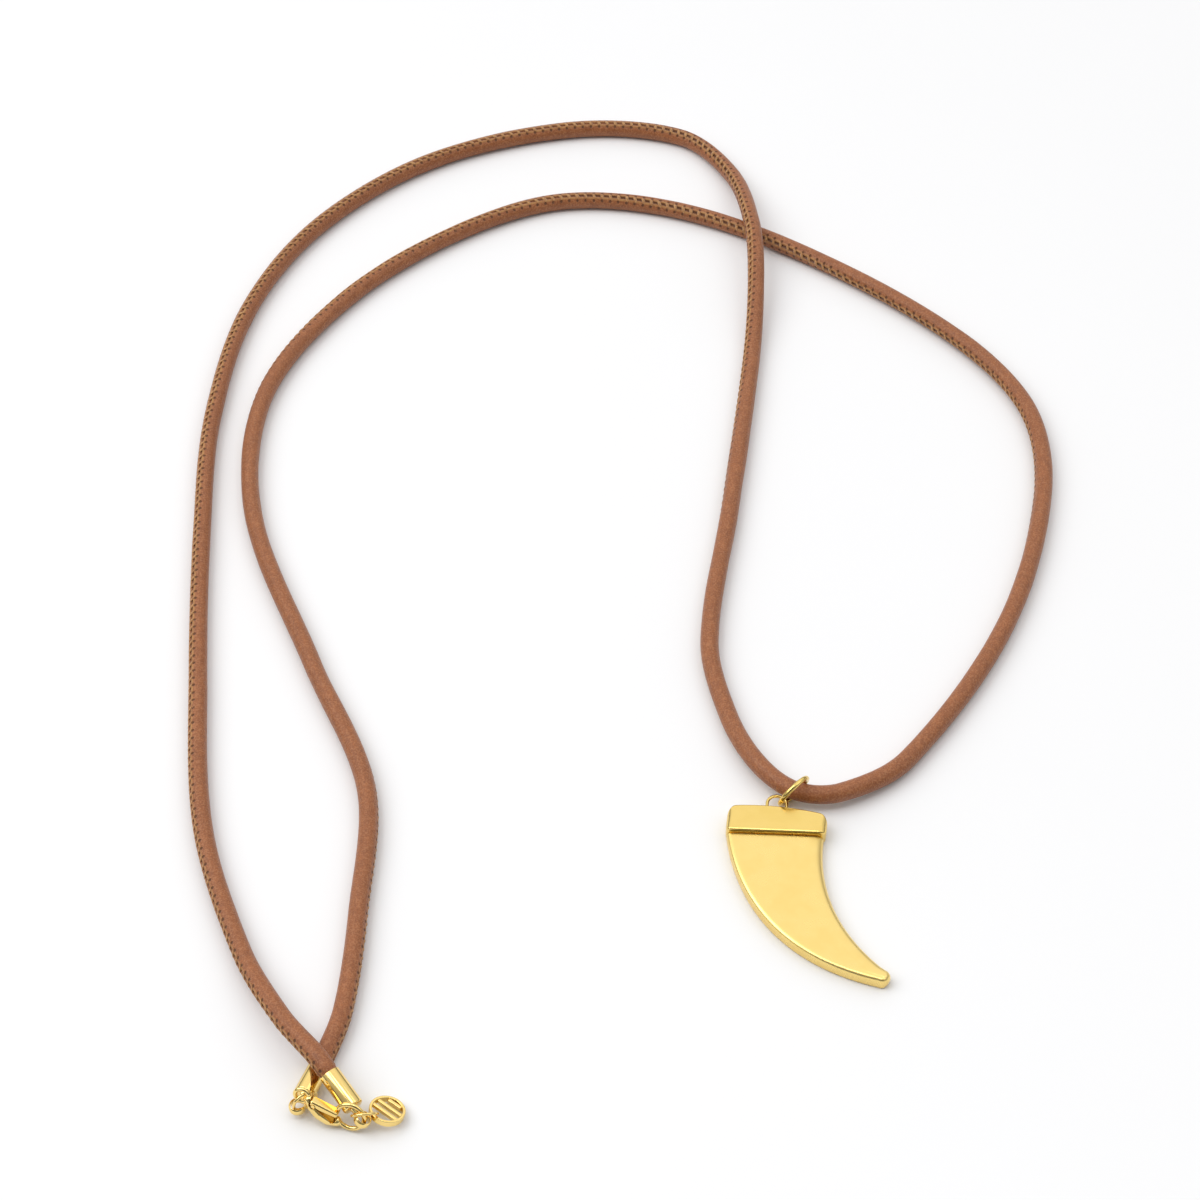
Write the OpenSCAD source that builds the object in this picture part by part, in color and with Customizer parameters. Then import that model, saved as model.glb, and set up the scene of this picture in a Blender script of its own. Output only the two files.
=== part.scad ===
// Curved tooth pendant on a stitched round leather cord, lying on a table.
// Millimetres. The origin is on the table under the tooth's root, +X to the right,
// +Y away from the viewer along the pendant towards its collar, +Z up.

/* [Leather cord] */
// Diameter of the round leather cord
cord_d = 3.5; // [3:0.1:4.2]
// Diameter of the cord's ends where they are glued into the caps
cord_end_d = 3.05; // [2.6:0.05:3.2]
// Length of cord inside each cap
cord_in = 3.6; // [2:0.1:5]
// Sides of the swept tube
cord_sides = 8; // [8:1:24]
// Longest spacing of the tube's rings
ring_step = 13.5; // [8:0.5:20]

/* [Tooth] */
// Thickness of the tooth plate
tooth_t = 2.6; // [2:0.1:4]
// Sections along the tooth
tooth_n = 26; // [12:1:60]
// Turn of the whole pendant on the table, degrees
pendant_turn = -7; // [-30:1:30]

/* [Collar] */
// Width of the collar band
collar_w = 17.8; // [15:0.1:20]
// Thickness of the collar
collar_t = 3.6; // [3:0.1:5]
// Radius of the collar's bowed upper edge in plan
bow_r = 47; // [30:1:80]
// Height of the band along the pendant, at its middle
band_h = 5.65; // [4:0.05:7]
// Tilt of the collar's straight lower edge, degrees
low_tilt = 4.2; // [-5:0.1:5]
// Widths of the rolled ends, left and right
roll_l = 1.1; // [0.5:0.1:2]
roll_r = 1.6; // [0.5:0.1:2]
// Gap between the collar and the tooth
fit_gap = 0.1; // [0.05:0.01:0.3]

/* [Wire eye and pendant ring] */
// Wire diameter of the eye soldered on the collar
eye_wire = 0.6; // [0.5:0.05:1]
// Mean radius of that eye
eye_r = 1.75; // [1.4:0.05:2.2]
// Wire diameter of the ring round the cord
link_wire = 0.96; // [0.7:0.02:1.2]
// Mean radius of the ring round the cord
link_r = 3.26; // [3:0.02:4]

/* [Cord caps] */
// Outer diameter of a cap
cap_d = 3.6; // [3.4:0.05:4.5]
// Bore of a cap
bore_d = 3.2; // [3:0.05:4]
// Length of a cap
cap_l = 7; // [5:0.1:10]
// Depth of the bore
bore_l = 6.2; // [4:0.1:9]
// From a cap's closed end to the centre of its eye
cap_reach = 2.55; // [2:0.05:3.5]
// Neck between cap and eye
neck_d = 1.4; // [1:0.1:2]
// Outer diameter of the cap's eye
cap_eye_d = 2.9; // [2.4:0.1:3.6]
// Hole of the cap's eye
cap_hole_d = 2.2; // [1.8:0.1:2.6]
// Height of the cap's eye
cap_eye_h = 1.5; // [1:0.1:2.2]

/* [Clasp] */
// Mean radius of the clasp's loop
loop_r = 2.4; // [2:0.1:3]
// Wire diameter of the loop
hook_wire = 0.8; // [0.6:0.05:1.2]
// From the loop's centre to the centre of the tail's hole
clasp_l = 8.7; // [7:0.1:11]
// Mean radius of the tail's eyelet
tail_r = 1.2; // [1:0.05:1.6]
// Wire diameter of the tail's eyelet
tail_wire = 0.76; // [0.5:0.02:1]
// Thickness of the lever in its slot
lever_t = 0.8; // [0.6:0.05:1.2]
// Width of the lever's outer bar
gate_w = 1.8; // [1.2:0.05:2.2]
// Offset of that bar towards the clasp's open side
gate_off = 0.1; // [0:0.01:0.3]
// Clearance round the lever's outer bar
gate_gap = 0.12; // [0.08:0.01:0.3]
// Diameter of the lever's pin
pin_d = 0.7; // [0.5:0.05:1]
// Running clearance round the pin
pin_gap = 0.03; // [0.01:0.01:0.1]
// Mean radius of the ring in the clasp's tail
tail_link_r = 2.1; // [1.6:0.05:2.5]
// Wire diameter of that ring
tail_link_wire = 0.54; // [0.4:0.02:0.8]

/* [Tag] */
// Outer diameter of the round tag
tag_d = 6.1; // [5:0.1:8]
// Thickness of the tag
tag_t = 1.1; // [0.8:0.05:1.5]
// Width of the tag's rim
tag_rim = 0.5; // [0.4:0.05:0.8]
// Mean radius of the tag's ring
tag_link_r = 2.15; // [1.1:0.05:2.5]
// Wire diameter of the tag's ring
tag_link_wire = 0.48; // [0.4:0.05:0.8]

/* [Hidden] */
$fn = 48;

gold = [0.87, 0.72, 0.36];
leather = [0.62, 0.41, 0.29];

// Where the hardware lies: eye centres, headings in the plan and slopes in degrees
cap_a_eye = [-80.9, -54.0, 1.8];
cap_a_heading = -112;
cap_b_eye = [-69.95, -57.0, 2.55];
cap_b_heading = -52.2;
cap_b_slope = -14.3;
cap_b_roll = -21;
clasp_at = [-71.95, -56.65, 2.95];
clasp_heading = -19.9;
clasp_slope = -12.8;
clasp_roll = 71.4;
tail_link_at = [-79.6, -53.6, 2.9];
tail_link_turn = [0, 88, 122.8];
link_at = [3.56, 10.81, 3.62];
link_turn = [0, 107, -45];
tag_at = [-66.1, -54.7, 1.53];
tag_turn = [0, 17.2, 45.9];
tag_link_at = [-69.63, -56.27, 2.84];
tag_link_turn = [0, 59.6, 96];

// A unit vector from a heading and a slope
function along(heading, slope) = [cos(heading) * cos(slope), sin(heading) * cos(slope), sin(slope)];

dir_a = along(cap_a_heading, 0);
dir_b = along(cap_b_heading, cap_b_slope);
cap_full = cap_reach + cap_l;

// The cord's centreline, from inside the second cap round the loop to inside the first cap.
// It passes over itself in a long low hump and is lifted a little by the pendant's ring.
route = concat(
  [cap_b_eye - (cap_full - cord_in) * dir_b, cap_b_eye - cap_full * dir_b],
  [[-78, -46.5, 5.5], [-84.5, -38, 4.5], [-92.5, -23, 2.3], [-101.5, 4, 1.75],
   [-105.5, 39.5, 1.75], [-108, 77, 1.75], [-108.5, 108, 1.75], [-103.5, 140, 1.75],
   [-90.5, 166, 1.75], [-67.5, 187, 1.75], [-37.5, 197.5, 1.75], [-13.5, 195, 1.75],
   [-3, 182.5, 2.3], [1, 163, 5.45], [1.5, 148, 4.6], [0, 125.5, 1.75],
   [-5.5, 83.5, 1.75], [-10.5, 48, 1.75], [-7.5, 30, 1.8], [-2.5, 18, 2.6],
   [4, 11.4, 3], [12, 11.2, 2.75], [24.5, 19.5, 1.8], [45, 51.5, 1.75],
   [55.5, 85.5, 1.75], [55, 109.5, 1.75], [43, 130, 1.75], [16.5, 153.5, 1.75],
   [-12.5, 170, 1.75], [-39, 173.5, 1.75], [-62.5, 162.5, 1.75], [-84.5, 141.5, 1.75],
   [-98.5, 114, 1.75], [-98.5, 81.5, 1.75], [-84.5, 42.5, 1.75], [-73, 13, 1.75],
   [-73, -15, 1.75], [-74.5, -35, 1.75]],
  [cap_a_eye - cap_full * dir_a, cap_a_eye - (cap_full - cord_in) * dir_a]);

// Largest turn between two rings, degrees
turn_step = 17;

// Smooth curve through the points: a cubic on each span, its slopes from the neighbours
function gap_len(i) = norm(route[i + 1] - route[i]);
function slope_at(i) =
  i == 0 ? (route[1] - route[0]) / gap_len(0)
  : i == len(route) - 1 ? (route[i] - route[i - 1]) / gap_len(i - 1)
  : (route[i + 1] - route[i - 1]) / (gap_len(i) + gap_len(i - 1));
function low_limit(p) = [p.x, p.y, max(p.z, cord_d / 2)];
function on_span(i, t) =
  (2 * pow(t, 3) - 3 * pow(t, 2) + 1) * route[i]
  + (pow(t, 3) - 2 * pow(t, 2) + t) * gap_len(i) * slope_at(i)
  + (3 * pow(t, 2) - 2 * pow(t, 3)) * route[i + 1]
  + (pow(t, 3) - pow(t, 2)) * gap_len(i) * slope_at(i + 1);
function span_turn(i) = acos(min(1, unit(slope_at(i)) * unit(slope_at(i + 1))));
function span_rings(i) = max(1, round(gap_len(i) / ring_step), ceil(span_turn(i) / turn_step));
function unit(v) = v / norm(v);

line_pts = concat(
  [for (i = [0:len(route) - 2], k = [0:span_rings(i) - 1]) low_limit(on_span(i, k / span_rings(i)))],
  [route[len(route) - 1]]);
line_n = len(line_pts);
function line_dir(k) = unit(line_pts[min(k + 1, line_n - 1)] - line_pts[max(k - 1, 0)]);
function tube_ring(c, d, s, r) = [
  for (j = [0:cord_sides - 1])
    c + r * (cos(360 * j / cord_sides) * s + sin(360 * j / cord_sides) * cross(d, s))];

// Swept tube: rings of points joined in strips, closed by a fan at each end
module swept(stations, sides) {
  rings = [for (s = stations) each tube_ring(s[0], s[1], unit(cross([0, 0, 1], s[1])), s[2])];
  n = len(stations);
  polyhedron(
    points = concat(rings, [stations[0][0], stations[n - 1][0]]),
    faces = concat(
      [for (k = [0:n - 2], j = [0:sides - 1])
        [k * sides + j, (k + 1) * sides + j, (k + 1) * sides + (j + 1) % sides]],
      [for (k = [0:n - 2], j = [0:sides - 1])
        [k * sides + j, (k + 1) * sides + (j + 1) % sides, k * sides + (j + 1) % sides]],
      [for (j = [0:sides - 1]) [n * sides, j, (j + 1) % sides]],
      [for (j = [0:sides - 1]) [n * sides + 1, (n - 1) * sides + (j + 1) % sides, (n - 1) * sides + j]]),
    convexity = 10);
}

// The cord steps down to its glued ends just outside each cap's mouth
mouth_gap = 0.15;
body_pts = [for (k = [2:line_n - 3]) [line_pts[k], line_dir(k), cord_d / 2]];
cord_stations = concat(
  [[line_pts[0], -dir_b, cord_end_d / 2],
   [line_pts[1] - mouth_gap * dir_b, -dir_b, cord_end_d / 2],
   [line_pts[1] - (mouth_gap + 0.1) * dir_b, -dir_b, cord_d / 2]],
  body_pts,
  [[line_pts[line_n - 2] - (mouth_gap + 0.1) * dir_a, dir_a, cord_d / 2],
   [line_pts[line_n - 2] - mouth_gap * dir_a, dir_a, cord_end_d / 2],
   [line_pts[line_n - 1], dir_a, cord_end_d / 2]]);

module cord() {
  color(leather) swept(cord_stations, cord_sides);
}

// Tooth plate. Its left and right edges are cubic curves in the pendant's own frame.
edge_l = [[-8.8, 1.24], [-7.8, -3.0], [-3.6, -23.4], [19.8, -27.0]];
edge_r = [[8.4, 2.5], [8.1, -9.8], [13.6, -18.8], [21.0, -24.3]];
tip_r = 1.45;
function cubic(p, t) = pow(1 - t, 3) * p[0] + 3 * t * pow(1 - t, 2) * p[1]
  + 3 * t * t * (1 - t) * p[2] + pow(t, 3) * p[3];

// Columns across the plate: inset from the left or right edge, underside height, top height
cols_l = [[0, 0.5, 1.95], [0.1, 0.2, 2.15], [0.4, 0, 2.42], [0.95, 0, 2.58]];
cols_r = [[1.6, 0, 2.55], [0.85, 0, 2.35], [0.3, 0.05, 2.0], [0, 0.45, 1.5]];
inner_cols = 5;
face_h = 2.6;

// A row of the plate at t along it: columns as [x, y, under, top]
function row(t, narrow, low, push) =
  let(a = cubic(edge_l, t), b = cubic(edge_r, t), w = norm(b - a), m = (a + b) / 2, s = (b - a) / w,
      f = min(1, w / 3.4) * narrow, h = w * narrow / 2, fwd = [s.y, -s.x],
      fr = concat([for (c = cols_l) [-h + c[0] * f, c[1], c[2]]],
        [for (k = [1:inner_cols]) [-h + 0.95 * f + (2 * h - 2.55 * f) * k / (inner_cols + 1), 0, face_h]],
        [for (c = cols_r) [h - c[0] * f, c[1], c[2]]]))
  [for (c = fr)
    let(p = m + s * c[0] + fwd * push)
    [p.x, p.y, c[1] + (1.2 - c[1]) * low, (c[2] * tooth_t / face_h) * (1 - low) + 1.3 * low]];

rows = concat(
  [for (i = [0:tooth_n]) row(i / tooth_n, 1, 0, 0)],
  [for (a = [25, 50, 72]) row(1, cos(a), pow(sin(a), 4) * 0.8, tip_r * sin(a))]);
row_m = len(rows[0]);

module tooth_plate() {
  n = len(rows);
  m = row_m;
  under = [for (r = rows, c = r) [c[0], c[1], c[2]]];
  top = [for (r = rows, c = r) [c[0], c[1], c[3]]];
  t = n * m;
  e = (n - 1) * m;
  polyhedron(
    points = concat(under, top),
    faces = concat(
      [for (i = [0:n - 2], j = [0:m - 2]) let(a = i * m + j, b = a + m) each [
        [a, b + 1, a + 1], [a, b, b + 1],
        [t + a, t + a + 1, t + b + 1], [t + a, t + b + 1, t + b]]],
      [for (i = [0:n - 2]) let(a = i * m, b = a + m, c = a + m - 1, d = b + m - 1) each [
        [a, t + b, b], [a, t + a, t + b],
        [c, d, t + d], [c, t + d, t + c]]],
      [for (j = [0:m - 2]) let(f = e + j) each [
        [j, j + 1, t + j + 1], [j, t + j + 1, t + j],
        [f, t + f + 1, f + 1], [f, t + f, t + f + 1]]]),
    convexity = 6);
}

// Root tongue: a flat bar behind the collar's face, in a pocket open at the lower edge
tongue_w = 15;
tongue_l = 3.4;
tongue_t = 1.6;
tongue_z = 0.5;
root_y = 1.5;

module tooth() {
  color(gold) rotate([0, 0, pendant_turn]) union() {
    tooth_plate();
    translate([-tongue_w / 2, root_y - 0.8, tongue_z]) cube([tongue_w, tongue_l + 0.8, tongue_t]);
  }
}

// Collar: a flat band with a bowed upper edge and a straight lower edge, its two ends rolled over,
// with a wire eye on top
low_y = 2.0;
collar_x = -0.15;
bow_y = low_y + band_h - bow_r;
corner_top = 1.5;
corner_low = 0.7;

// Lower edge: a bevelled step along a straight line
module low_side() {
  t = collar_t;
  translate([0, low_y, 0]) rotate([0, 0, low_tilt]) rotate([90, 0, 90])
    linear_extrude(height = 24, center = true)
      polygon([[0.3, 0], [9, 0], [9, t], [0.75, t], [0.35, t - 0.2], [0, t - 0.65], [0, 0.3]]);
}

// Upper edge: rounded over along the bow
module top_side() {
  translate([0, bow_y, 0]) rotate([0, 0, 75]) rotate_extrude(angle = 30, $fn = 240)
    polygon([[bow_r - 9, 0], [bow_r - 0.3, 0], [bow_r, 0.3], [bow_r, collar_t - 0.7],
      [bow_r - 0.25, collar_t - 0.25], [bow_r - 0.8, collar_t], [bow_r - 9, collar_t]]);
}

// Outline in plan with rounded corners
module collar_plan() {
  h = collar_w / 2;
  linear_extrude(height = collar_t + 1) hull() {
    for (s = [-1, 1]) {
      translate([collar_x + s * (h - corner_low), 1.3 + corner_low + 0.056 * s * h])
        circle(r = corner_low, $fn = 32);
      translate([collar_x + s * (h - corner_top), 5.5]) circle(r = corner_top, $fn = 32);
    }
    translate([0, 8.8]) circle(r = 0.2, $fn = 16);
  }
}

// Ends rolled over, the right one wider
module end_rolls() {
  h = collar_w / 2;
  t = collar_t;
  translate([collar_x, 12, 0]) rotate([90, 0, 0]) linear_extrude(height = 16)
    polygon([[-h, -1], [h, -1], [h, t - 1.5], [h - 0.12 * roll_r, t - 1], [h - 0.35 * roll_r, t - 0.5],
      [h - 0.65 * roll_r, t - 0.15], [h - roll_r, t], [roll_l - h, t], [0.65 * roll_l - h, t - 0.15],
      [0.35 * roll_l - h, t - 0.45], [0.12 * roll_l - h, t - 0.9], [-h, t - 1.4]]);
}

module collar() {
  color(gold) rotate([0, 0, pendant_turn]) union() {
    difference() {
      intersection() {
        low_side();
        top_side();
        collar_plan();
        end_rolls();
      }
      translate([-tongue_w / 2 - fit_gap, -2, tongue_z - fit_gap])
        cube([tongue_w + 2 * fit_gap, root_y + tongue_l + fit_gap + 2, tongue_t + 2 * fit_gap]);
    }
    translate([eye_x, eye_y, eye_z]) {
      rotate_extrude(angle = 180) translate([eye_r, 0]) circle(d = eye_wire);
      for (s = [-1, 1]) translate([s * eye_r, 0, 0]) rotate([90, 0, 0]) cylinder(d = eye_wire, h = eye_leg);
    }
  }
}
eye_x = -0.5;
eye_y = 9.45;
eye_z = 1.7;
eye_leg = 2.6;

module pendant_ring() {
  color(gold) translate(link_at) rotate(link_turn)
    rotate_extrude() translate([link_r, 0]) circle(d = link_wire);
}

// Cord cap: a cup for the cord's end, a neck and a drum eye; the cap's axis is x, the eye's is z
module cap() {
  difference() {
    union() {
      translate([-cap_full, 0, 0]) rotate([0, 90, 0]) cylinder(d = cap_d, h = cap_l - 0.35);
      translate([-cap_reach - 0.35, 0, 0]) rotate([0, 90, 0])
        cylinder(d1 = cap_d, d2 = cap_d - 0.7, h = 0.35);
      translate([-cap_reach - 0.1, 0, 0]) rotate([0, 90, 0])
        cylinder(d = neck_d, h = cap_reach - cap_hole_d / 2 - 0.05);
      eye_turn(cap_eye_d / 2, -0.25);
    }
    translate([-cap_full - 0.1, 0, 0]) rotate([0, 90, 0]) cylinder(d = bore_d, h = bore_l + 0.1);
    eye_turn(cap_hole_d / 2, 0.1);
  }
}

// Turned shape of the cap's eye: a drum whose ends narrow, or its hole whose ends widen
module eye_turn(r, flare) {
  h = cap_eye_h / 2;
  far = flare > 0 ? 2 : h;
  rotate_extrude()
    polygon([[0, -far], [r + flare, -far], [r + flare, -h + 0.01], [r, -h + 0.3], [r, h - 0.3],
      [r + flare, h - 0.01], [r + flare, far], [0, far]]);
}

module cap_a() {
  color(gold) translate(cap_a_eye) rotate([0, 0, cap_a_heading]) cap();
}

module cap_b() {
  color(gold) translate(cap_b_eye) rotate([cap_b_roll, -cap_b_slope, cap_b_heading]) cap();
}

// Clasp frame: x from the tail to the loop's nose, y to the lever's side, origin at the loop's centre
module on_clasp() {
  translate(clasp_at) rotate([clasp_roll, -clasp_slope, clasp_heading]) children();
}

pivot = [-6.25, -0.5];
hook_tip = 164;
hook_root = 222;
gate_swing = 17;
slot_t = lever_t + 0.16;

// Outline of the lever's outer bar, its nose under the hook's tip
module gate_shape(grow) {
  offset(delta = grow)
    polygon([[-6.95, -0.5], [-6.95, 0.25], [-6.7, 0.4], [-6.2, 0.12], [-2.15, 0.1], [-1.95, -0.1],
      [-1.95, -0.7], [-2.2, -0.9], [-6.3, -0.95]]);
}

module clasp_body() {
  color(gold) on_clasp() difference() {
    union() {
      // Loop of the hook, open between its tip and the body
      rotate([0, 0, hook_root]) rotate_extrude(angle = 360 - hook_root + hook_tip)
        translate([loop_r, 0]) circle(d = hook_wire);
      rotate([0, 0, hook_tip]) translate([loop_r, 0, 0]) sphere(d = hook_wire + 0.06, $fn = 24);
      // Pillowed body from the hook's root to the tail
      hull() {
        translate([-7.3, -0.2, 0]) sphere(d = 1.7, $fn = 32);
        translate([-6.2, -0.95, 0]) sphere(d = 2.5, $fn = 32);
        translate([-4.9, -1.7, 0]) sphere(d = 2.7, $fn = 32);
        translate([-3.3, -2.15, 0]) sphere(d = 2.5, $fn = 32);
        translate([-1.9, -2.1, 0]) sphere(d = 1.8, $fn = 32);
      }
      translate([-clasp_l, 0, 0]) rotate_extrude() translate([tail_r, 0]) circle(d = tail_wire);
    }
    // Slot for the lever
    translate([pivot.x - 0.85, pivot.y - 0.85, -slot_t / 2]) cube([4.3, 3, slot_t]);
    // Recess that the lever's outer bar swings down into
    translate([0, 0, gate_off]) linear_extrude(height = gate_w + 2 * gate_gap, center = true)
      for (a = [0:-gate_swing / 4:-gate_swing])
        translate(pivot) rotate(a) translate(-pivot) gate_shape(gate_gap);
    // The tail's hole stays round
    translate([-clasp_l, 0, -2]) cylinder(r = tail_r - tail_wire / 2, h = 4);
    translate([pivot.x, pivot.y, -2]) cylinder(d = pin_d + 0.02, h = 4);
  }
}

module clasp_lever() {
  color(gold) on_clasp() difference() {
    union() {
      translate([0, 0, -lever_t / 2]) linear_extrude(height = lever_t) {
        hull() {
          translate(pivot) circle(d = 1.5);
          translate([-4.6, -0.55]) circle(d = 0.7);
        }
      }
      translate([0, 0, gate_off]) {
        // Outer bar with bevelled edges
        hull() {
          linear_extrude(height = gate_w - 0.5, center = true) gate_shape(0);
          linear_extrude(height = gate_w, center = true) gate_shape(-0.2);
        }
      }
    }
    translate([pivot.x, pivot.y, -2]) cylinder(d = pin_d + 2 * pin_gap, h = 4);
  }
}

module lever_pin() {
  color(gold) on_clasp() translate([pivot.x, pivot.y, -pin_half]) cylinder(d = pin_d, h = 2 * pin_half);
}
pin_half = 1.05;

module clasp_ring() {
  color(gold) translate(tail_link_at) rotate(tail_link_turn)
    rotate_extrude() translate([tail_link_r, 0]) circle(d = tail_link_wire);
}

// Round openwork tag with slanted bars
bar_w = 0.62;

module tag() {
  color(gold) translate(tag_at) rotate(tag_turn) rotate([0, 0, tag_spin]) {
    difference() {
      cylinder(d = tag_d, h = tag_t, center = true);
      cylinder(d = tag_d - 2 * tag_rim, h = 2 * tag_t, center = true);
    }
    intersection() {
      cylinder(d = tag_d - tag_rim, h = tag_t - 0.3, center = true);
      for (x = [-2.05, -0.75, 0.55]) rotate([0, 0, 20]) translate([x - bar_w / 2, -tag_d / 2, -tag_t / 2])
        cube([bar_w, tag_d, tag_t]);
    }
  }
}
tag_spin = 167;

module tag_ring() {
  color(gold) translate(tag_link_at) rotate(tag_link_turn)
    rotate_extrude() translate([tag_link_r, 0]) circle(d = tag_link_wire);
}

tooth();
collar();
pendant_ring();
cord();
cap_a();
cap_b();
clasp_ring();
clasp_body();
clasp_lever();
lever_pin();
tag();
tag_ring();
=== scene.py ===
"""Curved tooth pendant on a stitched leather cord, lying on a white table.
The scene is in metres, in the frame of the part's solids. Sizes are written in millimetres, times MM."""
import math
import bpy
import numpy as np
from mathutils import Matrix, Vector


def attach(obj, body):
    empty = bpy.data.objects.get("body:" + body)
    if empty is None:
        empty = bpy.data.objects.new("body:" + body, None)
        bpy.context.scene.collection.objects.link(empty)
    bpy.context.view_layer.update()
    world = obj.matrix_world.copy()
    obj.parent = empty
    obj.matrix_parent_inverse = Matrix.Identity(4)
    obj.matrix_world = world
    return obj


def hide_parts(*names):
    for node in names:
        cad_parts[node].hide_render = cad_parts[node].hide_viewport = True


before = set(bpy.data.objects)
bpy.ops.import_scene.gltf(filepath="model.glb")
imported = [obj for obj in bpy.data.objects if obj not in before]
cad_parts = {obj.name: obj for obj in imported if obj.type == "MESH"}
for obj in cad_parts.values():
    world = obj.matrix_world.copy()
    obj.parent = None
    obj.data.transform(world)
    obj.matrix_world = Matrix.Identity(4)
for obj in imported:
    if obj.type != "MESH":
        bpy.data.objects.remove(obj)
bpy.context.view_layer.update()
MM = 0.001
rng = np.random.default_rng(7)
bpy.context.scene.view_settings.view_transform = "Standard"


# Camera: 48 degrees above the table, looking along +Y. Its place is in metres, its tilt in degrees.
CAMERA_AT, CAMERA_TILT, LENS = (-0.031, -0.32981, 0.43293), 42, 91.88


def make_camera():
    data = bpy.data.cameras.new("camera")
    data.lens, data.sensor_width, data.clip_start = LENS, 36.0, 0.01
    cam = bpy.data.objects.new("camera", data)
    cam.location = CAMERA_AT
    cam.rotation_euler = (math.radians(CAMERA_TILT), 0, 0)
    bpy.context.scene.collection.objects.link(cam)
    bpy.context.scene.camera = cam


make_camera()


# Shader maths as Python expressions
class Sig:
    """A number that varies over a surface: a socket with Python's operators."""

    def __init__(self, shader, sock):
        self.sh, self.sock = shader, sock

    def __add__(self, other):
        return self.sh.math("ADD", self, other)

    def __radd__(self, other):
        return self.sh.math("ADD", other, self)

    def __sub__(self, other):
        return self.sh.math("SUBTRACT", self, other)

    def __rsub__(self, other):
        return self.sh.math("SUBTRACT", other, self)

    def __mul__(self, other):
        return self.sh.math("MULTIPLY", self, other)

    def __rmul__(self, other):
        return self.sh.math("MULTIPLY", other, self)

    def __truediv__(self, other):
        return self.sh.math("DIVIDE", self, other)

    def __pow__(self, other):
        return self.sh.math("POWER", self, other)

    def __mod__(self, other):
        return self.sh.math("FLOORED_MODULO", self, other)

    def __neg__(self):
        return self.sh.math("MULTIPLY", self, -1.0)

    def __abs__(self):
        return self.sh.math("ABSOLUTE", self)

    def clamp(self):
        return self.sh.math("MINIMUM", self.sh.math("MAXIMUM", self, 0.0), 1.0)

    def step(self, low, high):
        """A smooth step from 0 at low to 1 at high."""
        return self.sh.ramp(self, low, high)


class Shader:
    """The nodes of a material or of the world."""

    def __init__(self, owner):
        owner.use_nodes = True
        self.owner, self.tree = owner, owner.node_tree
        self.tree.nodes.clear()

    def put(self, sock, value):
        """Link a value that varies to a socket, or set a plain one on it."""
        value = getattr(value, "sock", value)
        if hasattr(value, "is_output"):
            self.tree.links.new(value, sock)
        else:
            sock.default_value = value

    def node(self, kind, settings=None, **inputs):
        n = self.tree.nodes.new(kind)
        for key, value in (settings or {}).items():
            setattr(n, key, value)
        for key, value in inputs.items():
            self.put(n.inputs[key.replace("_", " ")], value)
        return n

    def show(self, kind, output, **inputs):
        """Make the node that the output shows."""
        self.shown = self.node(kind, **inputs)
        self.tree.links.new(self.shown.outputs[0], self.node(output).inputs["Surface"])

    def set(self, **inputs):
        for key, value in inputs.items():
            self.put(self.shown.inputs[key.replace("_", " ")], value)

    def math(self, op, *args):
        n = self.node("ShaderNodeMath", {"operation": op})
        for i, value in enumerate(args):
            self.put(n.inputs[i], value)
        return Sig(self, n.outputs[0])

    def ramp(self, x, low, high):
        n = self.node("ShaderNodeMapRange", {"interpolation_type": "SMOOTHSTEP"},
                      Value=x, From_Min=low, From_Max=high)
        return Sig(self, n.outputs[0])

    def coords(self, which="Object"):
        return self.node("ShaderNodeTexCoord").outputs[which]

    def noise(self, scale, detail, rough, stretch=None):
        vec = self.coords()
        if stretch:
            vec = self.node("ShaderNodeMapping", Vector=vec, Scale=stretch).outputs[0]
        n = self.node("ShaderNodeTexNoise", Vector=vec, Scale=scale, Detail=detail, Roughness=rough)
        return Sig(self, n.outputs["Fac"])

    def cells(self, scale, feature="F1"):
        n = self.node("ShaderNodeTexVoronoi", {"feature": feature}, Vector=self.coords(), Scale=scale)
        return Sig(self, n.outputs["Distance"])

    def mix(self, fac, a, b):
        n = self.node("ShaderNodeMix", {"data_type": "RGBA"})
        for sock, value in ((n.inputs[0], fac), (n.inputs[6], a), (n.inputs[7], b)):
            self.put(sock, (*value, 1.0) if isinstance(value, tuple) else value)
        return n.outputs[2]

    def bump(self, height, strength, distance):
        return self.node("ShaderNodeBump", Height=height, Strength=strength, Distance=distance).outputs[0]


def principled(name, **inputs):
    """A new material with one principled surface."""
    s = Shader(bpy.data.materials.new(name))
    s.show("ShaderNodeBsdfPrincipled", "ShaderNodeOutputMaterial", **inputs)
    return s


# The cord's seam, in millimetres: length of a stitch, and how far its two rows of holes lie from it
STITCH = 1.8
HOLE_UP, HOLE_LOW = 0.86, 1.1

# Stretches along the cord where the seam gapes and its painted shade deepens: from, fully by, fully until,
# closed again
GAPES = [(300, 318, 346, 360), (636, 655, 742, 760)]


def gold_material(name, base, deep, rough, haze, scratch):
    """Polished gold. Haze is how far the roughness varies, scratch how deep its fine marks are."""
    s = principled(name, Metallic=1.0)
    tone = s.noise(260, 3, 0.5)
    hair = s.noise(900, 2, 0.5, stretch=(1.0, 7.0, 1.0))
    fine = s.noise(5200, 2, 0.6)
    s.set(Base_Color=s.mix(tone.step(0.35, 0.75) * 0.35, base, deep),
          Roughness=rough + haze * tone.step(0.3, 0.8) + 0.05 * hair.step(0.5, 0.8),
          Normal=s.bump(fine * 0.5 + hair * 0.5, scratch, 0.000004))
    return s.owner


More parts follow.
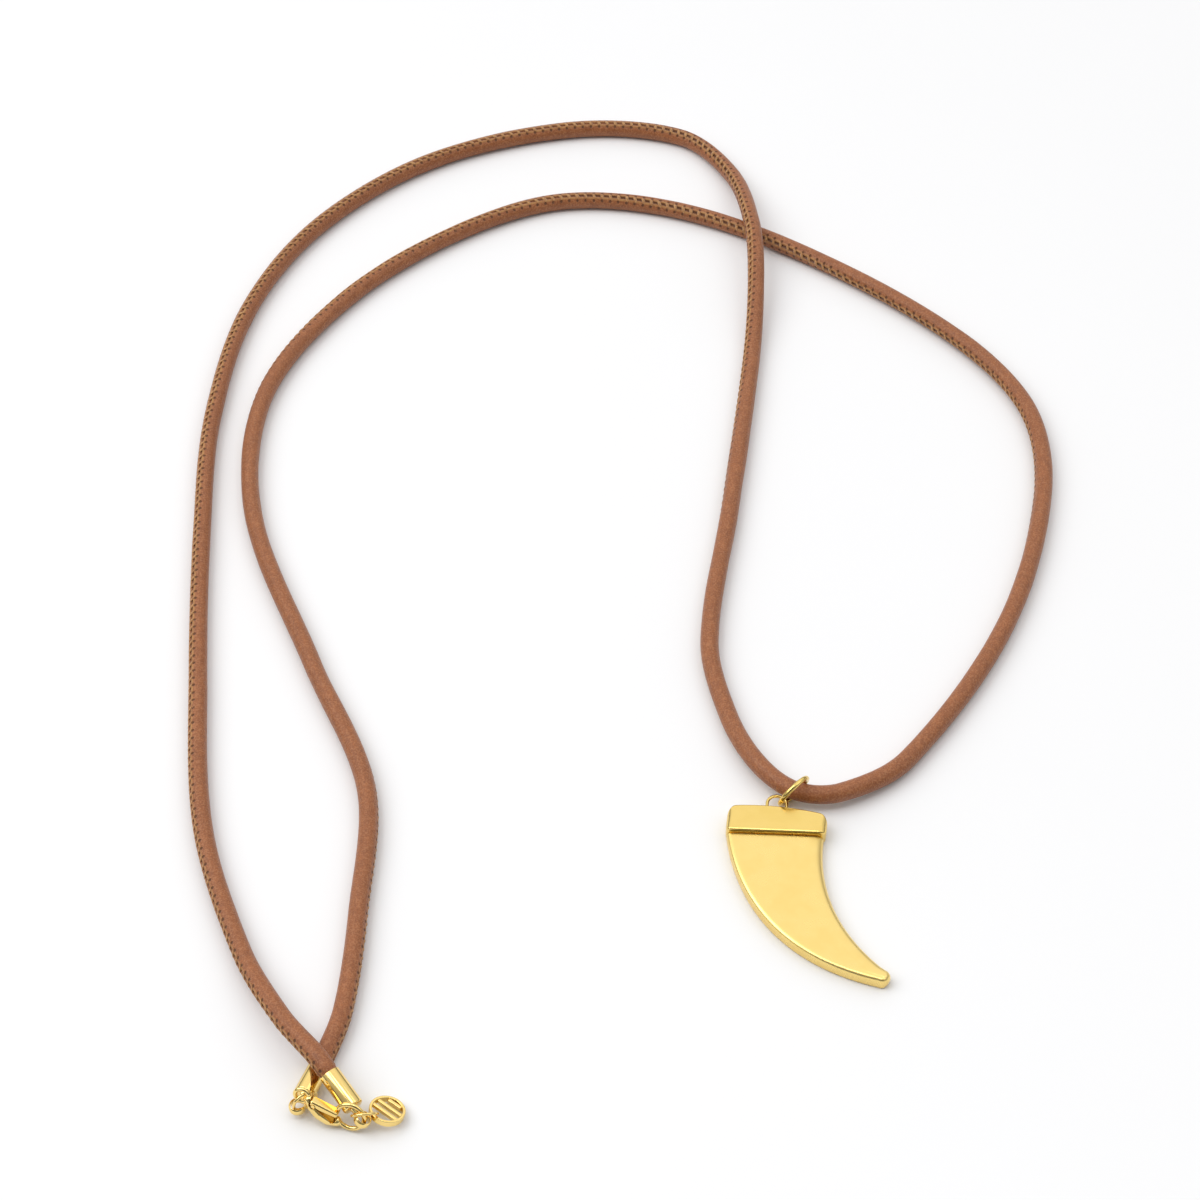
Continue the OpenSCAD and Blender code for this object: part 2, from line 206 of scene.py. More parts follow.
def leather_material():
    """Pebbled brown leather with a seam. Its UVs give the places along the cord and away from the seam."""
    s = principled("cord_leather", Sheen_Weight=0.08, Sheen_Roughness=0.5, Specular_IOR_Level=0.4)
    uv = s.node("ShaderNodeSeparateXYZ", Vector=s.coords("UV"))
    u, v = Sig(s, uv.outputs[0]) * 1000.0, Sig(s, uv.outputs[1]) * 10.0
    pebble = s.cells(3200)
    crease = s.cells(1900, "DISTANCE_TO_EDGE")
    soft = s.noise(700, 4, 0.55)
    broad = s.noise(60, 3, 0.5)
    pores = s.noise(4200, 3, 0.65)
    along = (u + 0.3 * (s.noise(520, 1, 0.5) - 0.5)) % STITCH
    at_hole = abs(along - STITCH / 2)
    off = abs(v)
    row = s.math("MINIMUM", abs(v - HOLE_UP), abs(v + HOLE_LOW))
    # Where the stitch holes, the seam's gap and its worn lips are. The holes and the gap get painted shade
    # in the colour below
    hole = (1 - ((at_hole / 0.34) ** 2 + (row / 0.38) ** 2).step(0.35, 1.0)) * soft.step(0.2, 0.4)
    first, second = (u.step(a, b) * (1 - u.step(c, d)) for a, b, c, d in GAPES)
    gap = (1 - off.step(0.2, 0.42)) * (0.30 + 0.38 * (first + second))
    lip = (1 - (abs(off - 0.52) / 0.34).step(0.5, 1.0)) * (0.5 + 0.5 * at_hole.step(0.2, 0.6))
    # Two browns, then broad darker patches, dark pores, pale grain, the lips, and painted shade in the holes
    # and gap
    base = s.mix(soft.step(0.3, 0.75), (0.264, 0.083, 0.024), (0.355, 0.119, 0.037))
    base = s.mix(broad.step(0.4, 0.65) * 0.3, base, (0.291, 0.093, 0.027))
    base = s.mix(pores.step(0.45, 0.68) * 0.55, base, (0.148, 0.047, 0.016))
    base = s.mix(pebble.step(0.42, 0.78) * 0.45, base, (0.470, 0.200, 0.083))
    base = s.mix(lip * (0.4 + 0.6 * soft.step(0.3, 0.7)) * 0.8, base, (0.460, 0.230, 0.070))
    # Painted shade: the stitch holes and the seam's gap, most where it gapes, are darkened nearly to black
    base = s.mix((hole * 0.8 + gap).clamp(), base, (0.085, 0.036, 0.016))
    relief = pebble * 0.5 + pores * 0.6 + crease.step(0.0, 0.3) * 0.3 - hole * 1.5 - gap
    s.set(Base_Color=base, Roughness=0.40 + 0.18 * soft - 0.08 * pores + 0.4 * hole,
          Normal=s.bump(relief, 0.9, 0.00008))
    return s.owner


def thread_material():
    s = principled("stitch_thread", Sheen_Weight=0.3)
    twist = s.noise(3000, 2, 0.5)
    s.set(Base_Color=s.mix(twist.step(0.3, 0.7), (0.32, 0.14, 0.048), (0.52, 0.275, 0.10)),
          Roughness=0.7 + 0.1 * twist, Normal=s.bump(twist, 0.4, 0.00003))
    return s.owner


# Pieces and their meshes
def new_piece(name, verts, faces, material, uvs=None):
    mesh = bpy.data.meshes.new(name)
    mesh.from_pydata([tuple(v) for v in verts], [], [tuple(f) for f in faces])
    mesh.validate()
    if uvs is not None:
        layer = mesh.uv_layers.new(name="UVMap")
        layer.data.foreach_set("uv", uvs.astype(np.float32).ravel())
    mesh.polygons.foreach_set("use_smooth", [True] * len(mesh.polygons))
    mesh.materials.append(material)
    obj = bpy.data.objects.new(name, mesh)
    bpy.context.scene.collection.objects.link(obj)
    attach(obj, "necklace")
    return obj


def unit(v):
    return v / np.linalg.norm(v, axis=-1, keepdims=True)


def grid_faces(rows, cols):
    """Quads between closed rings of points, one ring in each row."""
    i, j = np.meshgrid(np.arange(rows - 1), np.arange(cols), indexing="ij")
    k = (j + 1) % cols
    quads = [i * cols + j, i * cols + k, (i + 1) * cols + k, (i + 1) * cols + j]
    return np.stack(quads, -1).reshape(-1, 4).tolist()


def cap_faces(rows, cols):
    """The two faces that close a stack of rings."""
    return [list(range(cols))[::-1], [(rows - 1) * cols + j for j in range(cols)]]


def join(*parts):
    """Several lists of vertices and faces as one."""
    verts, faces, base = [], [], 0
    for v, f in parts:
        verts.append(v)
        faces += [[i + base for i in g] for g in f]
        base += len(v)
    return np.vstack(verts), faces


def place(turn, at):
    """The part source's rotate and translate as one matrix."""
    m = Matrix.Translation(Vector(at))
    for angle, axis in zip(turn[::-1], "ZYX"):
        m = m @ Matrix.Rotation(math.radians(angle), 4, axis)
    return m


def moved(pts, matrix):
    m = np.array(matrix)
    return pts @ m[:3, :3].T + m[:3, 3]


# Where the hardware lies, as in the part's source: millimetres and degrees
CORD_D, CORD_IN = 3.5, 3.6
CAP_L, CAP_REACH = 7.0, 2.55
CAP_FULL = CAP_L + CAP_REACH
CAP_A_EYE, CAP_A_TURN = (-80.9, -54.0, 1.8), (0, 0, -112)
CAP_B_EYE, CAP_B_TURN = (-69.95, -57.0, 2.55), (-21, 14.3, -52.2)
PENDANT = place((0, 0, -7), (0, 0, 0))

# The cord's route between its caps: the same points as in the part's source
HAND_POINTS = [
    (-78, -46.5, 5.5), (-84.5, -38, 4.5), (-92.5, -23, 2.3), (-101.5, 4, 1.75),
    (-105.5, 39.5, 1.75), (-108, 77, 1.75), (-108.5, 108, 1.75), (-103.5, 140, 1.75),
    (-90.5, 166, 1.75), (-67.5, 187, 1.75), (-37.5, 197.5, 1.75), (-13.5, 195, 1.75),
    (-3, 182.5, 2.3), (1, 163, 5.45), (1.5, 148, 4.6), (0, 125.5, 1.75),
    (-5.5, 83.5, 1.75), (-10.5, 48, 1.75), (-7.5, 30, 1.8), (-2.5, 18, 2.6),
    (4, 11.4, 3), (12, 11.2, 2.75), (24.5, 19.5, 1.8), (45, 51.5, 1.75),
    (55.5, 85.5, 1.75), (55, 109.5, 1.75), (43, 130, 1.75), (16.5, 153.5, 1.75),
    (-12.5, 170, 1.75), (-39, 173.5, 1.75), (-62.5, 162.5, 1.75), (-84.5, 141.5, 1.75),
    (-98.5, 114, 1.75), (-98.5, 81.5, 1.75), (-84.5, 42.5, 1.75), (-73, 13, 1.75),
    (-73, -15, 1.75), (-74.5, -35, 1.75)]

# Where the seam lies: (distance along the cord in millimetres, angle round it in degrees). At 0 it is on the
# left of the way the cord runs, and at 90 on top.
SEAM_AT = [
    (0, 8), (25, 11), (50, 24), (70, 28), (85, 36), (120, 45), (140, 48), (165, 57), (190, 68),
    (215, 82), (245, 92), (290, 99), (305, 99), (315, 103), (325, 113), (335, 129), (342, 136),
    (350, 136), (358, 132), (372, 138), (380, 145), (390, 156), (405, 170), (415, 181), (436, 205),
    (520, 265), (600, 338), (620, 348), (640, 359), (685, 360), (700, 392), (715, 406), (720, 411),
    (735, 427), (745, 434), (755, 438), (765, 449), (775, 457), (790, 470), (815, 490), (835, 530),
    (863, 590), (921, 690), (950, 705), (975, 712), (985, 721), (1010, 722)]


def cap_axis(eye, turn, back):
    """The point on a cap's axis so far back from its eye."""
    return np.array(eye) - back * np.array(place(turn, (0, 0, 0)))[:3, 0]


def cord_route():
    ends = CAP_FULL - CORD_IN
    b_end, b_mouth = cap_axis(CAP_B_EYE, CAP_B_TURN, ends), cap_axis(CAP_B_EYE, CAP_B_TURN, CAP_FULL)
    a_end, a_mouth = cap_axis(CAP_A_EYE, CAP_A_TURN, ends), cap_axis(CAP_A_EYE, CAP_A_TURN, CAP_FULL)
    return np.array([b_end, b_mouth, *HAND_POINTS, a_mouth, a_end], float)


def smooth_line(p, step):
    """The same cubic spans as in the part's source, then points at an even spacing."""
    d = np.linalg.norm(np.diff(p, axis=0), axis=1)
    slope = np.empty_like(p)
    slope[0], slope[-1] = (p[1] - p[0]) / d[0], (p[-1] - p[-2]) / d[-1]
    slope[1:-1] = (p[2:] - p[:-2]) / (d[1:] + d[:-1])[:, None]
    t = np.linspace(0, 1, 60, endpoint=False)[:, None]
    spans = []
    for i, gap in enumerate(d):
        start = (2 * t**3 - 3 * t**2 + 1) * p[i] + (t**3 - 2 * t**2 + t) * gap * slope[i]
        spans.append(start + (3 * t**2 - 2 * t**3) * p[i + 1] + (t**3 - t**2) * gap * slope[i + 1])
    line = np.vstack(spans + [p[-1:]])
    line[:, 2] = np.maximum(line[:, 2], CORD_D / 2)
    arc = np.concatenate([[0], np.cumsum(np.linalg.norm(np.diff(line, axis=0), axis=1))])
    at = np.linspace(0, arc[-1], round(arc[-1] / step) + 1)
    return np.stack([np.interp(at, arc, line[:, k]) for k in range(3)], 1), at


# The cord's skin has points at these angles from the seam, in degrees, and at their mirror images
SKIN_ANGLES = [0, 3.5, 7.5, 12, 17, 21, 25, 29.5, 36, 44, 53, 63, 74, 86, 98, 111, 124, 137, 150, 162, 172]
# Depth of the seam's groove, height of its lips and their distance from it, depth of its holes and puckers
GROOVE, LIP, LIP_AT, HOLE_DEEP, PUCKER = 0.30, 0.05, 0.5, 0.10, 0.015
# Width of the groove, of a lip and of a row of holes
SEAM_FINE = 0.2
# How uneven and out of round the leather is, and how far inside its solid it stays
UNEVEN, OUT_OF_ROUND, SKIN_IN = 0.014, 0.02, 0.03
# A cap holds the cord down to this radius, and it comes back to its own over this length
HELD_R, HELD_EASE = 1.5, 0.9
# The least height of the skin and of the threads over the table
SKIN_LOW, THREAD_LOW = 0.002, 0.01


def bell(x, width):
    return np.exp(-(x / width) ** 2)


def skin_radius(at, offs):
    """The cord's radius: a row for each place along it, a column for each angle from the seam."""
    length = at[-1]
    from_seam = np.abs(offs) * CORD_D / 2
    from_holes = np.minimum(np.abs(offs * CORD_D / 2 - HOLE_UP), np.abs(offs * CORD_D / 2 + HOLE_LOW))
    r = np.full((len(at), len(offs)), CORD_D / 2)
    r += -GROOVE * bell(from_seam, SEAM_FINE) + LIP * bell(from_seam - LIP_AT, SEAM_FINE)
    beat = np.cos(2 * np.pi * at / STITCH)[:, None]
    r -= (HOLE_DEEP * np.clip(-beat, 0, 1) ** 2 + PUCKER * beat) * bell(from_holes, SEAM_FINE)
    uneven = np.interp(at, np.linspace(0, length, 160), rng.normal(0, UNEVEN, 160))[:, None]
    turn = np.interp(at, np.linspace(0, length, 40), rng.uniform(0, 6, 40))[:, None]
    r += uneven + OUT_OF_ROUND * np.cos(2 * (offs[None] + turn)) - SKIN_IN
    past_mouth = np.minimum(at, length - at) - CORD_IN
    held = np.clip((HELD_EASE - past_mouth) / HELD_EASE, 0, 1)[:, None]
    return r * (1 - held) + (HELD_R + (r - CORD_D / 2) * 0.3) * held


def skin_uvs(at, offs):
    """Each quad's corners: metres along the cord, and centimetres round it from the seam."""
    i, j = np.meshgrid(np.arange(len(at) - 1), np.arange(len(offs)), indexing="ij")
    around = np.append(offs, 0.0) * CORD_D / 2
    v0, v1 = around[j], around[j + 1]
    v0 = np.where((j >= len(SKIN_ANGLES)) & (v0 > 0), -v0, v0)
    corners = ((at[i], v0), (at[i], v1), (at[i + 1], v1), (at[i + 1], v0))
    on_sides = np.stack([np.stack([u / 1000, v / 10], -1) for u, v in corners], 2).reshape(-1, 2)
    on_ends = np.full((2 * len(offs), 2), 0.3)
    return np.vstack([on_sides, on_ends])


def make_cord():
    line, at = smooth_line(cord_route(), STITCH / 4)
    d = unit(np.gradient(line, axis=0))
    side = unit(np.cross([0.0, 0.0, 1.0], d))
    up = np.cross(d, side)
    offs = np.radians(SKIN_ANGLES + [180] + [-a for a in SKIN_ANGLES[:0:-1]])
    ang = np.radians(np.interp(at, *zip(*SEAM_AT)))[:, None] + offs[None]
    out = np.cos(ang)[..., None] * side[:, None] + np.sin(ang)[..., None] * up[:, None]
    pts = line[:, None] + skin_radius(at, offs)[..., None] * out
    pts[..., 2] = np.maximum(pts[..., 2], SKIN_LOW)
    faces = grid_faces(len(at), len(offs)) + cap_faces(len(at), len(offs))
    cord = new_piece("leather_cord", pts.reshape(-1, 3) * MM, faces, leather_material(),
                     uvs=skin_uvs(at, offs))
    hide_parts("cord")
    stitches = make_stitches(line, at, side, up, d)


# Stitches: half a thread's width and height, its lean along the seam, and its reach as a share of the way
# to the holes. A thread is a row of rings, with so many sides to each.
THREAD_W, THREAD_H, THREAD_LEAN, THREAD_REACH = 0.37, 0.15, 0.34, 0.8
THREAD_RINGS, THREAD_SIDES = 7, 6
# How much the lean and the width differ from thread to thread
LEAN_VARIES, WIDTH_VARIES = 0.06, 0.025


def make_stitches(line, at, side, up, d):
    """Short threads that cross the seam from hole to hole, one for each stitch outside the caps."""
    def sample(values, here):
        return np.array([np.interp(here, at, values[:, c]) for c in range(3)])

    quads = np.array(grid_faces(THREAD_RINGS, THREAD_SIDES))[:, [0, 3, 2, 1]].tolist()
    one_thread = quads + [end[::-1] for end in cap_faces(THREAD_RINGS, THREAD_SIDES)]
    pts, faces = [], []
    for s in np.arange(STITCH * 3.5, at[-1] - STITCH * 3, STITCH):
        lean = THREAD_LEAN + rng.normal(0, LEAN_VARIES)
        width = THREAD_W + rng.normal(0, WIDTH_VARIES)
        faces += [[len(pts) + i for i in f] for f in one_thread]
        for f in np.linspace(-1, 1, THREAD_RINGS):
            here = s + lean * f
            reach = THREAD_REACH * f * (HOLE_UP if f > 0 else HOLE_LOW)
            a = math.radians(np.interp(here, *zip(*SEAM_AT))) + reach / (CORD_D / 2)
            centre = sample(line, here)
            out = math.cos(a) * unit(sample(side, here)) + math.sin(a) * unit(sample(up, here))
            # It bows up in the middle, and dips and thins towards its ends in the holes
            lift = CORD_D / 2 - 0.10 + 0.05 * (1 - f**2) - 0.1 * f**8
            across = unit(sample(d, here)) * width * (1 - 0.45 * abs(f) ** 3)
            for w in np.linspace(0, 2 * math.pi, THREAD_SIDES, endpoint=False):
                p = centre + out * (lift + THREAD_H * math.sin(w)) + across * math.cos(w)
                pts.append((p[0], p[1], max(p[2], THREAD_LOW)))
    return new_piece("cord_stitches", np.array(pts) * MM, faces, thread_material())


# Solids for the metal parts
def soft_block(size, radii, cells):
    """A block with round edges as welded vertices and faces. Radii and cells are one for each axis."""
    half, rad = np.array(size) / 2, np.array(radii, float)
    verts, faces = [], []
    for axis in range(3):
        a, b = [k for k in range(3) if k != axis]
        lines = []
        for k in (a, b):
            core = half[k] - rad[k]
            flat = np.linspace(-core, core, cells[k] + 1)
            edge = core + np.tan(np.radians(np.linspace(0, 45, 7)))[1:] * rad[k]
            lines.append(np.concatenate([-edge[::-1], flat, edge]))
        n, m = len(lines[0]), len(lines[1])
        for sign in (-1, 1):
            base = len(verts)
            for x in lines[0]:
                for y in lines[1]:
                    p = np.zeros(3)
                    p[axis], p[a], p[b] = sign * half[axis], x, y
                    inner = np.clip(p, -(half - rad), half - rad)
                    verts.append(inner + rad * unit((p - inner) / rad))
            outward = (sign > 0) == (axis != 1)
            for i in range(n - 1):
                for j in range(m - 1):
                    c = base + i * m + j
                    f = [c, c + m, c + m + 1, c + 1]
                    faces.append(f if outward else f[::-1])
    return weld(np.array(verts), faces)


def weld(verts, faces, near=1e-4):
    """Vertices that lie together become one, and faces that this leaves without area go."""
    keys, index = np.unique(np.round(verts / near).astype(np.int64), axis=0, return_inverse=True)
    index = index.ravel()
    kept = np.zeros((len(keys), 3))
    kept[index] = verts
    out = []
    for f in faces:
        g = [int(index[i]) for i in f]
        g = [v for n, v in enumerate(g) if v != g[n - 1]]
        if len(g) > 2:
            out.append(g)
    return kept, out


def rounded(points, radii, steps):
    """A closed outline with its corners rounded."""
    pts = [np.array(p, float) for p in points]
    out = []
    for i, p in enumerate(pts):
        a, b = pts[i - 1] - p, pts[(i + 1) % len(pts)] - p
        r = min(radii[i], 0.49 * np.linalg.norm(a), 0.49 * np.linalg.norm(b))
        p0, p1 = p + unit(a) * r, p + unit(b) * r
        for t in np.linspace(0, 1, steps):
            out.append((1 - t) ** 2 * p0 + 2 * t * (1 - t) * p + t * t * p1)
    return np.array(out)


def turned(points, radii, steps, count):
    """A closed outline of (radius, height) with rounded corners, turned about z."""
    prof = rounded(points, radii, steps)[::-1]
    n = len(prof)
    a = np.linspace(0, 2 * np.pi, count, endpoint=False)
    radius, height = prof[:, 0, None], np.repeat(prof[:, 1, None], count, 1)
    rings = np.stack([radius * np.cos(a), radius * np.sin(a), height], -1)
    faces = []
    for i in range(n):
        for j in range(count):
            k, e = (i + 1) % n, (j + 1) % count
            faces.append([i * count + j, i * count + e, k * count + e, k * count + j])
    return rings.reshape(-1, 3), faces


def wire(path, radius, sides=20):
    """A round wire along an open path, its frame carried from point to point."""
    ahead = unit(np.gradient(path, axis=0))
    side = unit(np.cross(ahead[0], [0.3, 0.2, 1.0]))
    a = np.linspace(0, 2 * np.pi, sides, endpoint=False)
    rings = []
    for p, d in zip(path, ahead):
        side = unit(side - d * np.dot(side, d))
        rings.append(p + radius * (np.cos(a)[:, None] * side + np.sin(a)[:, None] * np.cross(d, side)))
    return np.vstack(rings), grid_faces(len(path), sides) + cap_faces(len(path), sides)


# Tooth plate: the two edge curves of the part's source, joined by rows with rolled edges
EDGE_L = np.array([(-8.8, 1.24), (-7.8, -3.0), (-3.6, -23.4), (19.8, -27.0)])
EDGE_R = np.array([(8.4, 2.5), (8.1, -9.8), (13.6, -18.8), (21.0, -24.3)])
TIP_R, PLATE_T = 1.45, 2.6
# Its face is so high at the rolled edges, and rises so far to the middle
FACE_Z, CROWN = 2.58, 0.03
# Where the plate is narrower than this, its rolled edges shrink with it
ROLL_FULL = 4.4
# Rows along the plate and round its tip, and points across its face and its back
ROWS, TIP_ROWS, FACE_POINTS, BACK_POINTS = 150, 22, 22, 16
# The rolled edges as (distance in from the edge, height): left from the back up, right from the face down
SECTION_L = [
    (0.5, 0.0), (0.26, 0.05), (0.1, 0.2), (0.02, 0.42), (0, 0.7), (0, 1.2), (0, 1.7), (0.02, 1.93),
    (0.07, 2.1), (0.17, 2.26), (0.31, 2.38), (0.48, 2.46), (0.7, 2.52), (1.0, 2.56), (1.4, 2.58)]
SECTION_R = [
    (2.6, 2.59), (2.15, 2.575), (1.75, 2.55), (1.4, 2.51), (1.1, 2.44), (0.82, 2.33), (0.56, 2.17),
    (0.35, 1.98), (0.19, 1.76), (0.08, 1.52), (0.02, 1.25), (0, 0.95), (0.0, 0.65), (0.04, 0.38),
    (0.14, 0.16), (0.3, 0.04), (0.5, 0.0)]
# The tongue that reaches from the plate into the collar
TONGUE, TONGUE_AT, TONGUE_ROUND = (14.9, 4.0, 1.5), (0, 2.9, 1.3), (0.3, 0.3, 0.3)


def bezier(p, t):
    return (1 - t) ** 3 * p[0] + 3 * t * (1 - t) ** 2 * p[1] + 3 * t * t * (1 - t) * p[2] + t**3 * p[3]


def tooth_row(t, narrow, low, push):
    """One row across the plate. At the tip it narrows, draws in to mid-height and is pushed forward."""
    a, b = bezier(EDGE_L, t), bezier(EDGE_R, t)
    w = np.linalg.norm(b - a)
    middle, across = (a + b) / 2, (b - a) / w
    forward = np.array([across[1], -across[0]])
    f, h = min(1, w / ROLL_FULL) * narrow, w * narrow / 2
    left, right = -h + SECTION_L[-1][0] * f, h - SECTION_R[0][0] * f
    section = [(-h + x * f, z) for x, z in SECTION_L]
    for k in np.linspace(0, 1, FACE_POINTS)[1:-1]:
        section.append((left + (right - left) * k, FACE_Z + CROWN * math.sin(math.pi * k)))
    section += [(h - x * f, z) for x, z in SECTION_R]
    back_edge = h - SECTION_R[-1][0] * f
    section += [(back_edge * (1 - 2 * k), 0.0) for k in np.linspace(0, 1, BACK_POINTS)[1:-1]]
    row = []
    for x, z in section:
        p = middle + across * x + forward * push
        row.append((p[0], p[1], min(z, PLATE_T) * (1 - low) + PLATE_T / 2 * low))
    return row


def make_tooth(material):
    rows = [tooth_row(t, 1, 0, 0) for t in np.linspace(0, 1, ROWS)]
    for a in np.radians(np.linspace(4, 87, TIP_ROWS)):
        rows.append(tooth_row(1, math.cos(a), math.sin(a) ** 4 * 0.8, TIP_R * math.sin(a)))
    rows = np.array(rows)
    n, m = rows.shape[:2]
    tongue, tongue_faces = soft_block(TONGUE, TONGUE_ROUND, (6, 2, 2))
    verts, faces = join((rows.reshape(-1, 3), grid_faces(n, m) + cap_faces(n, m)),
                        (tongue + TONGUE_AT, tongue_faces))
    obj = new_piece("tooth_claw", moved(verts, PENDANT) * MM, faces, material)
    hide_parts("tooth")


# Collar: a bowed upper edge, a straight tilted lower edge, its ends rolled over
COLLAR_W, COLLAR_X, COLLAR_T, BAND_H = 17.8, -0.15, 3.6, 5.65
LOW_Y, LOW_TILT, BOW_R = 2.0, 4.2, 47.0
ROLL_L, ROLL_R, ROLL_DROP = 1.1, 1.6, 0.85
CORNER_LOW, CORNER_TOP = 0.7, 1.5
# Radii of its edges, and the cells along, up and through it
BAND_ROUND, BAND_CELLS = (1.1, 0.42, 0.5), (60, 14, 6)
# The ends drop only above this height, and more and more up to the face
DROP_FROM = 1.0
# How far its face is hollowed, and how far in from either edge the band keeps its own section
HOLLOW, EDGE_KEPT = 0.035, 1.1
# The wire eye on top: the radius of its bend, its wire's radius, its leg's length and its place
EYE_R, EYE_WIRE, EYE_LEG, EYE_AT = 1.75, 0.3, 2.6, (-0.5, 9.45, 1.7)


def corner(x, r):
    """How far an outline's rounded corner of radius r draws in at x from the middle."""
    d = np.clip(np.abs(x) - (COLLAR_W / 2 - r), 0, r)
    return r - np.sqrt(r * r - d * d)


def collar_band():
    """A block whose ends roll over, whose face is slightly hollow and whose edges bow and tilt."""
    verts, faces = soft_block((COLLAR_W, BAND_H, COLLAR_T), BAND_ROUND, BAND_CELLS)
    x, y, z = verts.T
    half = COLLAR_W / 2
    end = np.where(x > 0, (x - (half - ROLL_R)) / ROLL_R, (-x - (half - ROLL_L)) / ROLL_L)
    end = np.clip(end, 0, 1)
    z = z + COLLAR_T / 2
    above = np.clip((z - DROP_FROM) / (COLLAR_T - DROP_FROM), 0, 1)
    z = z - (1 - np.sqrt(1 - end**2 * 0.96)) * ROLL_DROP * above
    z = z - HOLLOW * (1 - np.cos(2 * math.pi * y / BAND_H)) * 0.5 * (z > COLLAR_T - 0.1)
    low = LOW_Y + math.tan(math.radians(LOW_TILT)) * x + corner(x, CORNER_LOW)
    top = LOW_Y + BAND_H - BOW_R + np.sqrt(BOW_R**2 - x * x) - corner(x, CORNER_TOP)
    out = y + BAND_H / 2
    share = (out - EDGE_KEPT) / (BAND_H - 2 * EDGE_KEPT)
    mid = low + EDGE_KEPT + (top - low - 2 * EDGE_KEPT) * share
    y = np.where(out < EDGE_KEPT, low + out, np.where(out > BAND_H - EDGE_KEPT, top - BAND_H + out, mid))
    return np.stack([x + COLLAR_X, y, z], 1), faces


def make_collar(material):
    leg = EYE_LEG / 4
    path = [(EYE_R, -EYE_LEG + leg * k, 0) for k in range(4)]
    path += [(EYE_R * math.cos(t), EYE_R * math.sin(t), 0) for t in np.linspace(0, math.pi, 40)]
    path += [(-EYE_R, -leg * (k + 1), 0) for k in range(4)]
    verts, faces = join(collar_band(), wire(np.array(path) + EYE_AT, EYE_WIRE))
    obj = new_piece("collar_band", moved(verts, PENDANT) * MM, faces, material)
    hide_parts("collar")


# Cord caps: the outlines of their turned parts as (radius, height above the mouth), and the rounding of
# each corner. The cup's closed end has a plug in it and a neck on it.
CUP = [(1.6, -0.02), (1.8, -0.02), (1.8, CAP_L), (0.7, CAP_L + 0.12), (0.7, CAP_L - 0.3), (1.6, 6.2)]
CUP_ROUND = [0.06, 0.12, 0.34, 0.08, 0.05, 0.2]
PLUG = [(0.001, CAP_L - 0.35), (0.9, CAP_L - 0.35), (0.9, CAP_L + 0.05), (0.001, CAP_L + 0.05)]
PLUG_ROUND = [0.02, 0.02, 0.02, 0.02]
NECK = [(0.001, CAP_L - 0.2), (0.95, CAP_L - 0.2), (0.66, CAP_L + 0.35), (0.64, CAP_L + 1.36),
        (0.001, CAP_L + 1.4)]
NECK_ROUND = [0.02, 0.2, 0.3, 0.1, 0.02]
# Half the outline of the drum eye, whose other half is its mirror image
DRUM = [(1.1, -0.45), (1.18, -0.73), (1.24, -0.74), (1.45, -0.42)]
DRUM_ROUND = [0.15, 0.05, 0.1, 0.22]


def make_cap(name, node, eye, turn, material):
    """A cap with its drum eye's centre at eye. The other parts are turned upright and then laid down."""
    laid = []
    for outline, round_by, steps, count in ((CUP, CUP_ROUND, 6, 72), (PLUG, PLUG_ROUND, 3, 48),
                                            (NECK, NECK_ROUND, 5, 40)):
        v, f = turned(outline, round_by, steps, count)
        laid.append((np.stack([v[:, 2] - CAP_FULL, v[:, 1], -v[:, 0]], 1), f))
    drum = turned(DRUM + [(r, -z) for r, z in DRUM[::-1]], DRUM_ROUND + DRUM_ROUND[::-1], 6, 72)
    verts, faces = join(*laid, drum)
    obj = new_piece(name, moved(verts, place(turn, eye)) * MM, faces, material)
    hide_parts(node)


# Tag: a rim and three plain slanted bars, whose ends reach into the rim
TAG_AT, TAG_TURN, TAG_SPIN = (-66.1, -54.7, 1.53), (0, 17.2, 45.9), 167
RIM_R, RIM_IN, RIM_T, RIM_ROUND = 3.05, 2.55, 1.1, 0.13
BARS_AT, BAR_W, BAR_T, BAR_ROUND, BAR_TILT = (-2.05, -0.75, 0.55), 0.62, 0.78, (0.12, 0.12, 0.12), 20
BAR_END_R = 2.72


def make_tag(material):
    up = RIM_T / 2
    rim = [(RIM_IN, -up), (RIM_R, -up), (RIM_R, up), (RIM_IN, up)]
    parts = [turned(rim, [RIM_ROUND] * 4, 6, 120)]
    c, s = math.cos(math.radians(BAR_TILT)), math.sin(math.radians(BAR_TILT))
    for x in BARS_AT:
        reach = math.sqrt(BAR_END_R**2 - (abs(x) + BAR_W / 2) ** 2)
        v, f = soft_block((BAR_W, 2 * reach, BAR_T), BAR_ROUND, (2, 12, 2))
        v = v + (x, 0, 0)
        parts.append((np.stack([v[:, 0] * c - v[:, 1] * s, v[:, 0] * s + v[:, 1] * c, v[:, 2]], 1), f))
    verts, faces = join(*parts)
    m = place(TAG_TURN, TAG_AT) @ Matrix.Rotation(math.radians(TAG_SPIN), 4, "Z")
    obj = new_piece("round_tag", moved(verts, m) * MM, faces, material)
    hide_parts("tag")


# The clasp's castings are remeshed at this size, in millimetres, and smoothed so many times
CAST_VOXEL, CAST_PASSES = 0.05, 14


def cast(name, node, body, material):
    """The smooth casting of a small part: its CAD shape remeshed fine and its edges eased."""
    obj = bpy.data.objects.new(name, bpy.data.objects[node].data.copy())
    obj.data.name = name
    bpy.context.scene.collection.objects.link(obj)
    remesh = obj.modifiers.new("remesh", "REMESH")
    remesh.mode, remesh.voxel_size = "VOXEL", CAST_VOXEL * MM
    ease = obj.modifiers.new("ease", "SMOOTH")
    ease.factor, ease.iterations = 0.5, CAST_PASSES
    bpy.context.view_layer.update()
    mesh = bpy.data.meshes.new_from_object(obj.evaluated_get(bpy.context.evaluated_depsgraph_get()))
    obj.modifiers.clear()
    obj.data = mesh
    mesh.polygons.foreach_set("use_smooth", [True] * len(mesh.polygons))
    mesh.materials.clear()
    mesh.materials.append(material)
    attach(obj, body)
    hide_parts(node)


